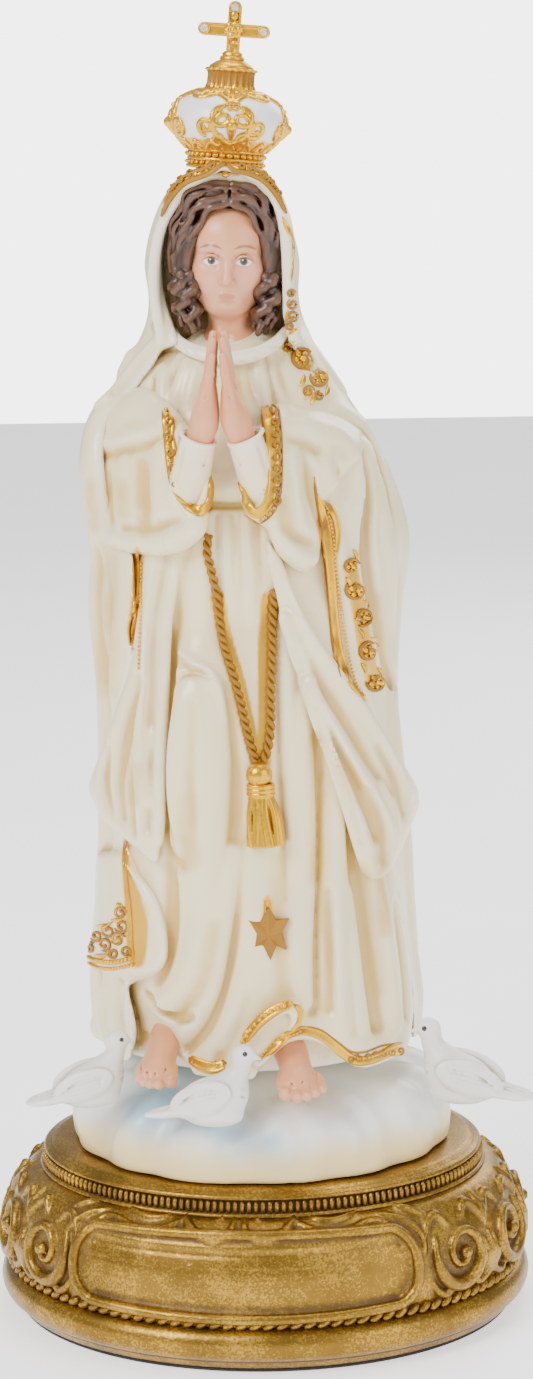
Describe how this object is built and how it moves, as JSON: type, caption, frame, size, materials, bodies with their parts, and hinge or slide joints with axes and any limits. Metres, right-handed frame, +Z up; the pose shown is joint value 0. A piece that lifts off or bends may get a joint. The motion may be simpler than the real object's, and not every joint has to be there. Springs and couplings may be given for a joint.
{
  "type": "madonna statue",
  "caption": "Praying hooded and crowned female figure on a cloud with doves, on an oval gilt pedestal; painted cast resin, crown lifts off on a peg.",
  "frame": {"origin": "middle of the underside, on the surface the statue stands on", "axes": "+Z up, the figure faces -Y, +X is the figure's own left"},
  "size_m": [0.167, 0.14, 0.4003],
  "materials": {
    "felt": "dark felt",
    "antique_gold": "gold paint on cast resin with a dark brown wash and speckle, worn bright on the raised parts",
    "bright_gold": "bright metallic gold paint on cast resin, darker in the recesses",
    "ivory_paint": "pearly ivory paint with ochre shading in the folds, satin varnish",
    "pearl_paint": "pearl white paint with raised gold filigree",
    "skin_paint": "peach skin paint with soft blush",
    "hair_paint": "dark brown paint with pale dry-brushed strands",
    "white_paint": "matt white paint with pale blue and yellow tints",
    "dove_paint": "matt off-white paint",
    "rhinestone": "clear faceted rhinestone"
  },
  "bodies": {
    "figure": {"base_felt_pad": "felt", "base_pedestal": "antique_gold", "cloud": "white_paint", "tunic": "ivory_paint", "tunic_collar": "ivory_paint", "mantle": "ivory_paint", "mantle_swag_right": "ivory_paint", "mantle_swag_left": "ivory_paint", "sleeve_right": "ivory_paint", "sleeve_left": "ivory_paint", "inner_cuff_right": "ivory_paint", "inner_cuff_left": "ivory_paint", "hand_right": "skin_paint", "hand_left": "skin_paint", "head": "skin_paint", "hair": "hair_paint", "foot_right": "skin_paint", "foot_left": "skin_paint", "girdle_rope_right": "bright_gold", "girdle_rope_left": "bright_gold", "tassel_knob": "bright_gold", "tassel_skirt": "bright_gold", "star": "bright_gold", "dove_right": "dove_paint", "dove_centre": "dove_paint", "dove_left": "dove_paint"},
    "crown": {"crown_cap": "pearl_paint", "crown_drum": "bright_gold", "crown_cone": "bright_gold", "crown_cross": "bright_gold", "cross_rosette": "bright_gold", "gem_top": "rhinestone", "gem_left": "rhinestone", "gem_right": "rhinestone"}
  },
  "joints": [
    {"name": "crown_lift", "type": "slide", "parent": "figure", "child": "crown", "axis": [0.0906, 0, 0.9959], "range_m": [0, 0.03]}
  ]
}
